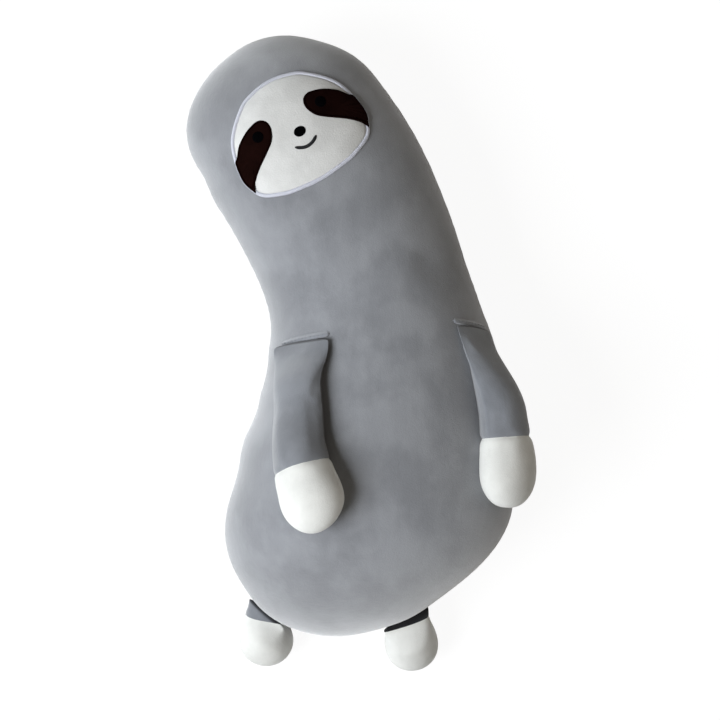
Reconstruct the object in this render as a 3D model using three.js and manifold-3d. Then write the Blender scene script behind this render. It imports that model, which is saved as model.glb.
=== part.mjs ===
// A long plush sloth lying on its back: a bent bolster body of two sewn panels round its
// stuffing, an embroidered face, and four stuffed limbs that flap on their seams.
// Millimetres. +Z is the front of the toy, +Y points to its head, +X to its left hand.
// The origin is the middle of the outline on the surface that the toy lies on.
import * as THREE from "three";
import { mergeVertices } from "three/addons/utils/BufferGeometryUtils.js";
import Module from "manifold-3d";

const wasm = await Module();
wasm.setup();

// Driving dimensions: the fabric
const coverThickness = 2;
const clearance = 0.3;
const flatDepth = 0.5;
const cutOverrun = 40;

// Driving dimensions: the body, measured along its middle line from the crown to the seat
const bodyLength = 598;
const headRadius = 96;
const headFrontDepth = 76;
const chestAt = 243;
const bellyAt = 453;
const bellyHalfWidth = 130;
const bellyFrontDepth = 102;
const backDepth = 78;
const neckRun = 98;
const bendRadius = 421;
const seatSlump = 32.5;
const seatDroop = 26;
const headLeanDegrees = 37.2;
const bendDegrees = 46.8;
const frontFullness = 2.15;
const backFullness = 2.5;

// Driving dimensions: the face, seen from the front
const noseAt = 107;
const faceTiltDegrees = 30;
const faceShift = 2.5;
const noseOut = 2.8;
const faceHalfWidth = 64.5;
const faceTop = 56;
const faceBottom = 48;
const facePanelThickness = 1.2;
const edgingWidth = 3.2;
const patchThickness = 1;
const eyeRadius = 5;
const eyeThickness = 0.8;
const eyeOut = 32;
const eyeUp = 14.5;
const noseHalfWidth = 5.6;
const noseHalfHeight = 4.6;
const noseRise = 2.4;
const smileHalfWidth = 10.3;
const smileTop = 10.4;
const smileSag = 4.4;
const smileStroke = 1.4;

// Driving dimensions: the arms, measured down from the shoulder seam. Fabric that is drawn into
// the left seam leaves that arm shorter and narrower there
const shoulderAt = 304.8;
const shoulderSkew = 6.8;
const shoulderDegrees = 42.8;
const bodyRollDegrees = 6.7;
const rightShoulderHalfWidth = 31;
const leftShoulderHalfWidth = 23;
const hemRadius = 1.8;
const tuckHeight = 8;
const tuckThickness = 2.4;
const rightArmLength = 178.4;
const leftArmLength = 164.5;
const rightWristAt = 122;
const leftWristAt = 103;
const sleeveHalfWidth = 24;
const handHalfWidth = 29;
const armHalfThickness = 22;
const armPress = 5;

// How the arms lie: the slant of each shoulder seam, the drift of each arm towards the front at
// its seam and at its tip, and the slant of each wrist seam
const rightShoulderSlantDegrees = 6;
const leftShoulderSlantDegrees = 16;
const rightArmDriftDegrees = [7, 47];
const leftArmDriftDegrees = [1.5, -2];
const rightWristSlantDegrees = 6;
const leftWristSlantDegrees = 0;

// Driving dimensions: the legs, measured down from the hip seam
const hipShift = -11;
const hipSpread = 67;
const hipHeight = 52;
const hipHalfWidth = 22;
const legLength = 69;
const ankleAt = 6;
const ankleHalfWidth = 21;
const footHalfWidth = 26;
const legHalfThickness = 25;

// How the legs lie: the splay of each, and the turn of each ankle seam from its hip seam
const rightLegSplayDegrees = 2;
const leftLegSplayDegrees = 8;
const rightAnkleSlantDegrees = 24;
const leftAnkleSlantDegrees = -6;

// How finely the forms are faceted
const bodySides = 24;
const capRings = 6;
const trunkRings = 9;
const limbSides = 14;
const limbRings = 7;
const limbCapRings = 4;
const walkSteps = 24;
const outlinePoints = 44;
const weldDistance = 0.0001;

// Colours and roughness
const greyPlush = { color: 0x8b8f97, roughness: 0.95 };
const darkerPlush = { color: 0x7d8189, roughness: 0.95 };
const whitePlush = { color: 0xeceeec, roughness: 0.9 };
const faceFabric = { color: 0xd6d7d6, roughness: 0.9 };
const edgingThread = { color: 0xd2d3de, roughness: 0.6 };
const brownFabric = { color: 0x1c0d0b, roughness: 0.85 };
const blackThread = { color: 0x060708, roughness: 0.5 };
const fibre = { color: 0xf2f2ef, roughness: 1 };

const radians = THREE.MathUtils.degToRad;
const bump = (share) => share * share * (3 - 2 * share);
const clampShare = (share) => Math.min(1, Math.max(0, share));
const rampShare = (value, from, to) => bump(clampShare((value - from) / (to - from)));
const mix = (a, b, share) => a.clone().lerp(b, share).normalize();

// A closed geometry becomes a solid that can be cut and joined
function solidOf(geometry, matrix = new THREE.Matrix4()) {
  const bare = geometry.clone().applyMatrix4(matrix);
  bare.deleteAttribute("normal");
  bare.deleteAttribute("uv");
  const merged = mergeVertices(bare, weldDistance);
  return new wasm.Manifold(
    new wasm.Mesh({
      numProp: 3,
      vertProperties: merged.attributes.position.array,
      triVerts: new Uint32Array(merged.index.array),
    }),
  );
}

// A solid becomes a named mesh with faces as flat as they are cut
function meshOf(name, solid, finish) {
  const made = solid.getMesh();
  const points = Array.from(made.triVerts, (v) => {
    const start = v * made.numProp;
    return new THREE.Vector3(...made.vertProperties.subarray(start, start + 3));
  });
  const geometry = new THREE.BufferGeometry().setFromPoints(points);
  geometry.computeVertexNormals();
  const mesh = new THREE.Mesh(geometry, new THREE.MeshStandardMaterial(finish));
  mesh.name = name;
  return mesh;
}

// A box between two corners, used only to cut
function block(low, high, matrix) {
  const size = new THREE.Vector3().subVectors(high, low);
  const middle = new THREE.Vector3().addVectors(low, high).multiplyScalar(0.5);
  const box = new THREE.BoxGeometry(size.x, size.y, size.z);
  return solidOf(box.translate(middle.x, middle.y, middle.z), matrix);
}

// Rings of points joined into one closed skin, with a point at each end
function skin(firstPoint, rings, lastPoint) {
  const sides = rings[0].length;
  const last = 1 + rings.length * sides;
  const faces = [];
  for (let k = 0; k < sides; k++) {
    const next = (k + 1) % sides;
    faces.push(0, 1 + next, 1 + k);
    for (let r = 0; r + 1 < rings.length; r++) {
      const here = 1 + r * sides;
      const below = here + sides;
      faces.push(here + k, here + next, below + k);
      faces.push(here + next, below + next, below + k);
    }
    const base = last - sides;
    faces.push(last, base + k, base + next);
  }
  const geometry = new THREE.BufferGeometry().setFromPoints([firstPoint, ...rings.flat(), lastPoint]);
  return geometry.setIndex(faces);
}

const reach = bodyLength + cutOverrun;
const farCorner = new THREE.Vector3(reach, reach, reach);

// Everything over a height
const above = (height) => block(new THREE.Vector3(-reach, -reach, height), farCorner);

// The body's middle line: straight from the crown, a long bend, then straight to the seat
const bendLength = bendRadius * radians(bendDegrees);
const seatLength = bodyLength - bellyAt;

function middleLine(along) {
  const start = radians(headLeanDegrees);
  const straight = Math.min(along, neckRun);
  const bent = clampShare((along - neckRun) / bendLength) * bendLength;
  const beyond = Math.max(0, along - neckRun - bendLength);
  const heading = start - bent / bendRadius;
  const x = straight * Math.sin(start) + bendRadius * (Math.cos(heading) - Math.cos(start));
  const y = straight * Math.cos(start) + bendRadius * (Math.sin(start) - Math.sin(heading));
  return { x: x + beyond * Math.sin(heading), y: -y - beyond * Math.cos(heading), heading };
}

// A point beside the middle line, in plan
function besideLine(along, side) {
  const { x, y, heading } = middleLine(along);
  return new THREE.Vector2(x + side * Math.cos(heading), y + side * Math.sin(heading));
}

const seatShare = (along) => clampShare((along - bellyAt) / seatLength);

// The height of the side seam, which droops towards the seat
const seamHeight = (along) => backDepth - flatDepth - seatDroop * seatShare(along) ** 2;

// A half size of the body: a round crown, an even neck, a swell to the belly and a round seat
function swell(along, headSize, bellySize) {
  const crown = Math.sqrt(1 - (1 - clampShare(along / headRadius)) ** 2);
  const seat = Math.sqrt(1 - seatShare(along) ** 2);
  return crown * seat * (headSize + (bellySize - headSize) * rampShare(along, chestAt, bellyAt));
}

// A point of the body's skin. Its section is rounder in front than behind, where it lies flat
function bodyPoint(along, degrees) {
  const across = Math.cos(radians(degrees));
  const upward = Math.sin(radians(degrees));
  const front = upward >= 0;
  const power = 2 / (front ? frontFullness : backFullness);
  const width = swell(along, headRadius, bellyHalfWidth);
  const depth = front ? swell(along, headFrontDepth, bellyFrontDepth) : swell(along, backDepth, backDepth);
  const side = Math.sign(across) * Math.abs(across) ** power * width - seatSlump * seatShare(along);
  const rise = Math.sign(upward) * Math.abs(upward) ** power * depth;
  const plan = besideLine(along, side);
  return new THREE.Vector3(plan.x, plan.y, seamHeight(along) + rise);
}

// The body's skin at a point: ways down the toy, round it and out of it, with their rates
function bodyFrame(along, degrees) {
  const step = bodyLength / 1000;
  const point = bodyPoint(along, degrees);
  const down = bodyPoint(along + step, degrees).sub(bodyPoint(along - step, degrees));
  const round = bodyPoint(along, degrees + 1).sub(bodyPoint(along, degrees - 1));
  const perAlong = down.length() / (2 * step);
  const perDegree = round.length() / 2;
  const outward = new THREE.Vector3().crossVectors(round, down).normalize();
  return { point, down: down.normalize(), round: round.normalize(), outward, perAlong, perDegree };
}

// The body's skin moved outwards by an offset. Its rings lie closer together in the caps
function bodySkin(offset) {
  const turns = Array.from({ length: capRings - 1 }, (_, i) => ((i + 1) / capRings) * (Math.PI / 2));
  const trunkShares = Array.from({ length: trunkRings + 1 }, (_, i) => i / trunkRings);
  const stations = [
    ...turns.map((turn) => headRadius * (1 - Math.cos(turn))),
    ...trunkShares.map((share) => headRadius + (bellyAt - headRadius) * share),
    ...turns.map((turn) => bellyAt + seatLength * Math.sin(turn)),
  ];
  const rings = stations.map((along) =>
    Array.from({ length: bodySides }, (_, k) => {
      const { point, outward } = bodyFrame(along, (360 * k) / bodySides);
      return point.addScaledVector(outward, offset);
    }),
  );
  const crown = besideLine(-offset, 0);
  const seat = besideLine(bodyLength + offset, -seatSlump);
  const crownPoint = new THREE.Vector3(crown.x, crown.y, seamHeight(0));
  const seatPoint = new THREE.Vector3(seat.x, seat.y, seamHeight(bodyLength));
  return skin(crownPoint, rings, seatPoint);
}

const coats = new Map();

// The body as a solid, grown by an offset
function bodySolid(offset) {
  if (!coats.has(offset)) coats.set(offset, solidOf(bodySkin(offset)));
  return coats.get(offset);
}

// A layer on the body between two offsets
const layer = (from, to) => bodySolid(to).subtract(bodySolid(from));

// Everything under the side seam, lowered by a drop
function underSeam(drop) {
  const side = bellyHalfWidth + cutOverrun;
  const count = trunkRings + capRings;
  const rings = [];
  for (let i = 0; i <= count; i++) {
    const along = -cutOverrun + ((bodyLength + 2 * cutOverrun) * i) / count;
    const [right, left] = [besideLine(along, -side), besideLine(along, side)];
    const top = seamHeight(along) - drop;
    rings.push([
      new THREE.Vector3(left.x, left.y, -cutOverrun),
      new THREE.Vector3(left.x, left.y, top),
      new THREE.Vector3(right.x, right.y, top),
      new THREE.Vector3(right.x, right.y, -cutOverrun),
    ]);
  }
  const middle = (ring) => ring[0].clone().add(ring[2]).multiplyScalar(0.5);
  return solidOf(skin(middle(rings[0]), rings, middle(rings[count])));
}

const innerGap = coverThickness + clearance;

// The two panels of the cover meet at the side seam, and the stuffing fills them
function bodyMeshes() {
  const hollow = bodySolid(-coverThickness).intersect(above(coverThickness));
  const cover = bodySolid(0).intersect(above(0)).subtract(hollow);
  const stuffing = bodySolid(-innerGap).intersect(above(innerGap));
  return [
    meshOf("front_panel", cover.subtract(underSeam(-clearance / 2)), greyPlush),
    meshOf("back_panel", cover.intersect(underSeam(clearance / 2)), greyPlush),
    meshOf("body_stuffing", stuffing, fibre),
  ];
}

// The face's half outline, out from its middle and up or down from the nose, in shares of the
// face's half width and of its height there
const faceOutlineShares = [
  [0, 1],
  [0.27, 0.955],
  [0.524, 0.828],
  [0.87, 0.422],
  [1, -0.152],
  [0.949, -0.507],
  [0.841, -0.721],
  [0.609, -0.873],
  [0.408, -0.945],
  [0, -1],
];

// An eye patch's outline in the same way. Its outer end runs on past the face's edge, which cuts it
const patchOutlineShares = [
  [0.276, 0.29],
  [0.3, 0.42],
  [0.38, 0.485],
  [0.48, 0.48],
  [0.62, 0.425],
  [0.79, 0.3],
  [0.92, 0.13],
  [1.1, 0],
  [1.1, -0.3],
  [0.965, -0.49],
  [0.925, -0.465],
  [0.848, -0.345],
  [0.684, -0.185],
  [0.484, -0.026],
  [0.342, 0.11],
];

// A point of the face in plan, out from its middle to the toy's left and up from the nose
function facePoint(out, up) {
  const tilt = radians(faceTiltDegrees);
  const way = new THREE.Vector2(out, up).rotateAround(new THREE.Vector2(), tilt);
  return besideLine(noseAt, faceShift).add(way);
}

// A smooth closed outline through points of the face, drawn in by an inset
function faceCurve(points, inset) {
  const curve = new THREE.CatmullRomCurve3(points, true, "centripetal");
  return Array.from({ length: outlinePoints }, (_, i) => {
    const point = curve.getPoint(i / outlinePoints);
    const way = curve.getTangent(i / outlinePoints);
    return facePoint(point.x + inset * way.y, point.y - inset * way.x);
  });
}

function faceOutline(inset) {
  const half = faceOutlineShares.map(([out, up]) => {
    return new THREE.Vector3(out * faceHalfWidth, up * (up > 0 ? faceTop : faceBottom), 0);
  });
  const mirrored = half.slice(1, -1).reverse();
  return faceCurve([...half, ...mirrored.map((p) => new THREE.Vector3(-p.x, p.y, 0))], inset);
}

function patchOutline(side) {
  return faceCurve(
    patchOutlineShares.map(([out, up]) => new THREE.Vector3(side * out * faceHalfWidth, up * faceTop, 0)),
    0,
  );
}

function eyeOutline(side) {
  const turns = Array.from({ length: limbSides }, (_, i) => (2 * Math.PI * i) / limbSides);
  return turns.map((turn) => {
    return facePoint(side * eyeOut + eyeRadius * Math.cos(turn), eyeUp + eyeRadius * Math.sin(turn));
  });
}

// An upright prism over an outline, through the front of the head only
function prism(outline) {
  const depth = headFrontDepth + cutOverrun;
  const geometry = new THREE.ExtrudeGeometry(new THREE.Shape(outline), { depth, bevelEnabled: false });
  return solidOf(geometry.translate(0, 0, backDepth));
}

// The point of the body's front over a point of the plan, raised by an offset
function bodyOver(plan, offset) {
  const from = new THREE.Vector3(plan.x, plan.y, reach);
  const ray = new THREE.Raycaster(from, new THREE.Vector3(0, 0, -1));
  return ray.intersectObject(new THREE.Mesh(bodySkin(offset)))[0].point;
}

// The face lies on the head in layers: panel and edging, then patches, nose and mouth, then eyes
function faceMeshes() {
  const panelTop = clearance + facePanelThickness;
  const patchBase = panelTop + clearance;
  const patchTop = patchBase + patchThickness;
  const eyeBase = patchTop + clearance;
  const panelLayer = layer(clearance, panelTop);
  const wholeFace = prism(faceOutline(0));
  const edging = wholeFace.subtract(prism(faceOutline(edgingWidth)));
  const inside = prism(faceOutline(edgingWidth + clearance));
  const meshes = [
    meshOf("face_panel", panelLayer.intersect(inside), faceFabric),
    meshOf("face_edging", panelLayer.intersect(edging), edgingThread),
    noseMesh(patchBase),
    mouthMesh(patchBase),
  ];
  for (const [name, side] of [["right", -1], ["left", 1]]) {
    const patch = layer(patchBase, patchTop).intersect(prism(patchOutline(side))).intersect(wholeFace);
    const eye = layer(eyeBase, eyeBase + eyeThickness).intersect(prism(eyeOutline(side)));
    meshes.push(meshOf(name + "_eye_patch", patch, brownFabric));
    meshes.push(meshOf(name + "_eye", eye, blackThread));
  }
  return meshes;
}

// The nose is an oval of satin stitch with a low crown
function noseMesh(base) {
  const ground = bodyOver(facePoint(noseOut, 0), base);
  const placed = new THREE.Matrix4().compose(
    ground,
    new THREE.Quaternion().setFromAxisAngle(new THREE.Vector3(0, 0, 1), radians(faceTiltDegrees)),
    new THREE.Vector3(noseHalfWidth, noseHalfHeight, noseRise),
  );
  const dome = solidOf(new THREE.SphereGeometry(1, limbSides, capRings), placed);
  return meshOf("nose", dome.subtract(bodySolid(base)), blackThread);
}

// The mouth is a round cord of stitches along a shallow curve
function mouthMesh(base) {
  const points = Array.from({ length: limbRings }, (_, i) => {
    const share = (2 * i) / (limbRings - 1) - 1;
    const up = -smileTop - smileSag * (1 - share * share);
    return bodyOver(facePoint(noseOut + share * smileHalfWidth, up), base);
  });
  const extrudePath = new THREE.CatmullRomCurve3(points);
  const section = new THREE.Shape().absarc(0, 0, smileStroke, 0, 2 * Math.PI);
  const cord = new THREE.ExtrudeGeometry(section, { steps: 2 * limbRings, curveSegments: 4, extrudePath });
  return meshOf("mouth", solidOf(cord).subtract(bodySolid(base)), blackThread);
}

// Where a limb changes: its seam narrows to its middle, its stuffing fills it and its section
// turns square, in shares of its length. It swells again from a share of the way to its wrist or
// ankle to its round tip
const neckShare = 0.28;
const fillShare = 0.32;
const leftArmFillShare = 0.45;
const squareShare = 0.5;
const swellShare = 0.75;

const tipShare = (limb) => 1 - limb.endHalfWidth / limb.length;

// A limb's half sizes at a share of its length, less an inset
function limbSizes(limb, share, inset) {
  const { seamHalfWidth, middleHalfWidth, endHalfWidth, halfThickness } = limb;
  const tip = tipShare(limb);
  const round = Math.sqrt(1 - clampShare((share - tip) / (1 - tip)) ** 2);
  const nearSeam = 1 - rampShare(share, 0, neckShare);
  const nearTip = rampShare(share, (swellShare * limb.splitAt) / limb.length, tip);
  const extra = (seamHalfWidth - middleHalfWidth) * nearSeam + (endHalfWidth - middleHalfWidth) * nearTip;
  const thickness = hemRadius + (halfThickness - hemRadius) * rampShare(share, 0, limb.fullShare);
  return { width: round * (middleHalfWidth + extra) - inset, thickness: round * thickness - inset };
}

// A limb's section: from the slant of its seam it turns square to its middle line
function limbSection(limb, share) {
  const at = clampShare(share) * (limb.frames.length - 1);
  const low = Math.min(Math.floor(at), limb.frames.length - 2);
  const [a, b] = [limb.frames[low], limb.frames[low + 1]];
  const centre = a.point.clone().lerp(b.point, at - low);
  const square = mix(a.across, b.across, at - low);
  const across = mix(limb.seam, square, rampShare(share, 0, squareShare));
  const outward = mix(a.outward, b.outward, at - low);
  outward.addScaledVector(across, -outward.dot(across)).normalize();
  return { centre, across, outward };
}

// A limb's solid drawn in by an inset. Outside it starts at the fold of its hem, and inside its
// cover where there is room to fill
function limbSolid(limb, inset) {
  const from = inset > 0 ? (limb.hemLength + inset) / limb.length : 0;
  const to = 1 - inset / limb.length;
  const tip = tipShare(limb);
  const shares = [];
  for (let i = 0; i < limbRings; i++) shares.push(from + ((tip - from) * i) / (limbRings - 1));
  for (let i = 1; i < limbCapRings; i++) {
    const turn = (i / limbCapRings) * (Math.PI / 2);
    shares.push(tip + (to - tip) * Math.sin(turn));
  }
  const rings = shares.map((share) => {
    const { centre, across, outward } = limbSection(limb, share);
    const { width, thickness } = limbSizes(limb, share, inset);
    return Array.from({ length: limbSides }, (_, k) => {
      const turn = (2 * Math.PI * k) / limbSides;
      const point = centre.clone().addScaledVector(across, width * Math.cos(turn));
      return point.addScaledVector(outward, thickness * Math.sin(turn));
    });
  });
  const { centre: first, across, outward } = limbSection(limb, from);
  const backward = new THREE.Vector3().crossVectors(outward, across);
  if (inset === 0) first.addScaledVector(backward, hemRadius);
  return solidOf(skin(first, rings, limbSection(limb, to).centre));
}

// Axes of a place on a limb: X across it, Y back up it and Z out of it
function limbPlace({ centre, across, outward }) {
  const backward = new THREE.Vector3().crossVectors(outward, across);
  return new THREE.Matrix4().makeBasis(across, backward, outward).setPosition(centre);
}

// A limb's cover is open inside, cut to the body, and its stuffing fills it
function limbParts(limb) {
  const outside = limbSolid(limb, 0).intersect(above(0)).subtract(bodySolid(clearance));
  const room = limbSolid(limb, coverThickness).intersect(above(coverThickness));
  const hollow = room.subtract(bodySolid(clearance + coverThickness));
  const fill = limbSolid(limb, innerGap).intersect(above(innerGap));
  return { cover: outside.subtract(hollow), stuffing: fill.subtract(bodySolid(clearance + innerGap)) };
}

// A limb hangs from its seam as one group that turns about the seam's line
function limbGroup(limb) {
  const { cover, stuffing } = limbParts(limb);
  const cut = limbPlace(limbSection(limb, limb.splitAt / limb.length));
  cut.multiply(new THREE.Matrix4().makeRotationZ(radians(limb.splitSlantDegrees)));
  const beforeCut = block(new THREE.Vector3(-reach, clearance / 2, -reach), farCorner, cut);
  const farSide = new THREE.Vector3(reach, -clearance / 2, reach);
  const afterCut = block(farCorner.clone().negate(), farSide, cut);
  const group = new THREE.Group();
  group.name = limb.name;
  group.add(
    meshOf(limb.coverName, cover.intersect(beforeCut), darkerPlush),
    meshOf(limb.endName, cover.intersect(afterCut), whitePlush),
    meshOf(limb.name + "_stuffing", stuffing, fibre),
  );
  const hinge = limbPlace(limbSection(limb, 0));
  const toHinge = hinge.clone().invert();
  for (const mesh of group.children) mesh.geometry.applyMatrix4(toHinge);
  group.applyMatrix4(hinge);
  return group;
}

// An arm walks down the body from its shoulder, drifting towards the front, and lies on the skin
function armLimb(name, side, length, shoulder, wrist, driftDegrees) {
  const limb = {
    name: name + "_arm",
    coverName: name + "_sleeve",
    endName: name + "_hand",
    length,
    splitAt: wrist.at,
    splitSlantDegrees: wrist.slantDegrees,
    hemLength: shoulder.halfWidth / 3,
    seamHalfWidth: shoulder.halfWidth,
    fullShare: shoulder.fullShare,
    middleHalfWidth: sleeveHalfWidth,
    endHalfWidth: handHalfWidth,
    halfThickness: armHalfThickness,
    frames: [],
  };
  const step = length / walkSteps;
  let along = shoulderAt + side * shoulderSkew;
  let degrees = 90 - side * (90 - shoulderDegrees) - bodyRollDegrees;
  const { down: seamDown, outward: seamOutward } = bodyFrame(along, degrees);
  limb.seam = new THREE.Vector3().crossVectors(seamOutward, seamDown).normalize();
  limb.seam.applyAxisAngle(seamOutward, -side * radians(shoulder.slantDegrees));
  for (let i = 0; i <= walkSteps; i++) {
    const share = i / walkSteps;
    const drift = radians(driftDegrees[0] + (driftDegrees[1] - driftDegrees[0]) * share * share);
    const { point, down, round, outward, perAlong, perDegree } = bodyFrame(along, degrees);
    const way = down.clone().multiplyScalar(Math.cos(drift)).addScaledVector(round, side * Math.sin(drift));
    const lift = (armHalfThickness - hemRadius - armPress) * rampShare(share, 0, limb.fullShare);
    const across = new THREE.Vector3().crossVectors(outward, way).normalize();
    point.addScaledVector(outward, clearance + hemRadius + lift);
    limb.frames.push({ point, across, outward });
    along += (step * Math.cos(drift)) / perAlong;
    degrees += (step * side * Math.sin(drift)) / perDegree;
  }
  return limb;
}

// The tuck over a shoulder is the turned hem that the arm hangs from, flat on the body
function tuckMesh(name, limb) {
  const side = limb.seamHalfWidth;
  const low = new THREE.Vector3(-side, hemRadius + clearance, -side);
  const high = new THREE.Vector3(side, hemRadius + clearance + tuckHeight, side);
  const strip = block(low, high, limbPlace(limbSection(limb, 0)));
  return meshOf(name, layer(clearance, clearance + tuckThickness).intersect(strip), darkerPlush);
}

// The point of the seat's side that is in line with a place along X, at the hips' height
function seatSide(x) {
  const from = new THREE.Vector3(x, -2 * reach, hipHeight);
  const ray = new THREE.Raycaster(from, new THREE.Vector3(0, 1, 0));
  return ray.intersectObject(new THREE.Mesh(bodySkin(clearance + hemRadius)))[0].point;
}

// A leg runs straight from the seat until its foot rests on the floor
function legLimb(name, side, splayDegrees, ankleSlantDegrees) {
  const hipX = besideLine(bodyLength, hipShift).x + side * hipSpread;
  const hip = seatSide(hipX);
  const seam = seatSide(hipX + hipHalfWidth).sub(seatSide(hipX - hipHalfWidth)).normalize();
  const splay = side * radians(splayDegrees);
  const droop = Math.asin((hip.z + flatDepth - legHalfThickness) / (legLength - footHalfWidth));
  const across = new THREE.Vector3(Math.cos(splay), Math.sin(splay), 0);
  const way = new THREE.Vector3(Math.sin(splay), -Math.cos(splay), 0).multiplyScalar(Math.cos(droop));
  way.z = -Math.sin(droop);
  const outward = new THREE.Vector3().crossVectors(way, across);
  const tip = hip.clone().addScaledVector(way, legLength);
  return {
    name: name + "_leg",
    coverName: name + "_leg_cover",
    endName: name + "_foot",
    length: legLength,
    splitAt: ankleAt,
    splitSlantDegrees: ankleSlantDegrees,
    hemLength: hipHalfWidth / 5,
    seamHalfWidth: hipHalfWidth,
    fullShare: fillShare,
    middleHalfWidth: ankleHalfWidth,
    endHalfWidth: footHalfWidth,
    halfThickness: legHalfThickness,
    seam,
    frames: [hip, tip].map((point) => ({ point, across, outward })),
  };
}

const rightShoulder = {
  halfWidth: rightShoulderHalfWidth,
  slantDegrees: rightShoulderSlantDegrees,
  fullShare: fillShare,
};
const leftShoulder = {
  halfWidth: leftShoulderHalfWidth,
  slantDegrees: leftShoulderSlantDegrees,
  fullShare: leftArmFillShare,
};
const rightWrist = { at: rightWristAt, slantDegrees: rightWristSlantDegrees };
const leftWrist = { at: leftWristAt, slantDegrees: leftWristSlantDegrees };
const rightArm = armLimb("right", -1, rightArmLength, rightShoulder, rightWrist, rightArmDriftDegrees);
const leftArm = armLimb("left", 1, leftArmLength, leftShoulder, leftWrist, leftArmDriftDegrees);
const rightLeg = legLimb("right", -1, rightLegSplayDegrees, rightAnkleSlantDegrees);
const leftLeg = legLimb("left", 1, leftLegSplayDegrees, leftAnkleSlantDegrees);

const laid = new THREE.Group();
laid.add(...bodyMeshes(), ...faceMeshes());
laid.add(tuckMesh("right_shoulder_tuck", rightArm), tuckMesh("left_shoulder_tuck", leftArm));
laid.add(...[rightArm, leftArm, rightLeg, leftLeg].map(limbGroup));

// The middle of the outline, seen from above, goes over the origin
const outline = new THREE.Box3().setFromObject(laid, true);
const middle = outline.getCenter(new THREE.Vector3());
laid.position.set(-middle.x, -middle.y, 0);

const sloth = new THREE.Group();
sloth.add(laid);

export default sloth;
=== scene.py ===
# %% [markdown]
# # A long plush sloth lying on its back
# The toy is a bent bolster of short-nap plush with an appliqué face, two arms that hang from turned
# hems and two short legs. Every piece made here sits where its solid in the imported model sits.
# The body and the pieces on its face and shoulders ride on the trunk; the limb covers are left
# where they are made. This lesson sews a softer skin over each solid, stitches the face, and lights
# the toy as a studio would.

# %% Load the frame
from math import asin, copysign, cos, degrees, exp, pi, radians, sin, sqrt
import bmesh
import bpy
import numpy as np
from mathutils import Matrix, Vector, noise
from mathutils.bvhtree import BVHTree


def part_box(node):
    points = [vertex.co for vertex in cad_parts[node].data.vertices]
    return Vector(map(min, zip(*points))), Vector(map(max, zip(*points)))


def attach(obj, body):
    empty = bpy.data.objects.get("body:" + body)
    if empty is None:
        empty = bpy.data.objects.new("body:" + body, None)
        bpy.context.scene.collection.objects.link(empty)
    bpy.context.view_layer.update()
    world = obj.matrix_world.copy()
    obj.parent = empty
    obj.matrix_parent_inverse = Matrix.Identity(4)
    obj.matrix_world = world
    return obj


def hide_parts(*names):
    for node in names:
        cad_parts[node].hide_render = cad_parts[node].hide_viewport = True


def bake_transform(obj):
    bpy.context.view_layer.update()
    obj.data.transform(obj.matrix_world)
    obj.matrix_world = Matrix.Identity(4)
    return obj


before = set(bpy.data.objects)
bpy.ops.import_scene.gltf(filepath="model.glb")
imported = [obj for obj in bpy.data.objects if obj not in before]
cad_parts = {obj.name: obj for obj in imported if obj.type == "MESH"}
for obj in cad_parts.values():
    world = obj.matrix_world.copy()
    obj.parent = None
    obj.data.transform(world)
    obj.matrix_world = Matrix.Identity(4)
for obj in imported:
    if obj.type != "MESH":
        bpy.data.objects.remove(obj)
bpy.context.view_layer.update()
scene = bpy.context.scene

# %% [markdown]
# ## Sizes
# A soft toy's sizes are those of its pattern: how far along the middle line each change lies,
# how wide the panels are there, and how deep the filling stands in front of and behind the side
# seam. They are written in millimetres and turned to metres, which the frame uses.

# %% Sizes of the body
MM = 0.001
BODY_LENGTH, HEAD_RADIUS, HEAD_FRONT = 598 * MM, 96 * MM, 76 * MM
CHEST_AT, BELLY_AT, BELLY_HALF, BELLY_FRONT = 243 * MM, 453 * MM, 130 * MM, 102 * MM
BACK_DEPTH, NECK_RUN, BEND_RADIUS = 78 * MM, 98 * MM, 421 * MM
SEAT_SLUMP, SEAT_DROOP, FLAT_DEPTH = 32.5 * MM, 26 * MM, 0.5 * MM
HEAD_LEAN, BEND = radians(37.2), radians(46.8)
FRONT_FULLNESS, BACK_FULLNESS = 2.15, 2.5
BEND_LENGTH, SEAT_LENGTH = BEND_RADIUS * BEND, BODY_LENGTH - BELLY_AT

# A sewn cover is never quite even, so each side stands out or is drawn in here and there. An
# entry gives the place along the body, how far the ease spreads and how much it is, all in
# millimetres. The crown sinks a little as well
CROWN_EASE = 3 * MM
LEFT_EASE = [(38, 28, -4.4), (148, 50, 1.8), (322, 20, 1.0), (475, 22, 2.2), (540, 25, -5.2),
             (583, 12, -4.2)]
RIGHT_EASE = [(20, 26, 5.4), (79, 17, -4.6), (160, 70, 1.0), (275, 40, 1.2), (305, 20, 1.6),
              (410, 50, 2.2), (388, 24, -2.8), (470, 12, -1.4), (515, 22, 1.5), (566, 16, -2.8)]


def clamp(share):
    return min(1.0, max(0.0, share))


def ramp(value, low, high):
    """0 below low, 1 above high, and a smooth rise between them."""
    share = clamp((value - low) / (high - low))
    return share * share * (3 - 2 * share)


# %% [markdown]
# ## The body's form
# The body follows one middle line: straight from the crown, a long bend, then straight to the
# seat. Across it the section is a rounded box, fuller behind, where the toy lies flat. A formula
# can be cut as finely as the cloth needs, so the skin is drawn again here and not taken from
# the faceted solid.

# %% The skin of the body as a formula
def middle_line(along):
    """The middle line seen from above: its place and its heading, from the crown at 0."""
    straight = min(along, NECK_RUN)
    bent = clamp((along - NECK_RUN) / BEND_LENGTH) * BEND_LENGTH
    beyond = max(0.0, along - NECK_RUN - BEND_LENGTH)
    heading = HEAD_LEAN - bent / BEND_RADIUS
    x = straight * sin(HEAD_LEAN) + BEND_RADIUS * (cos(heading) - cos(HEAD_LEAN))
    y = straight * cos(HEAD_LEAN) + BEND_RADIUS * (sin(HEAD_LEAN) - sin(heading))
    return x + beyond * sin(heading), -y - beyond * cos(heading), heading


def beside_line(along, side):
    x, y, heading = middle_line(along)
    return Vector((x + side * cos(heading), y + side * sin(heading)))


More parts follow.
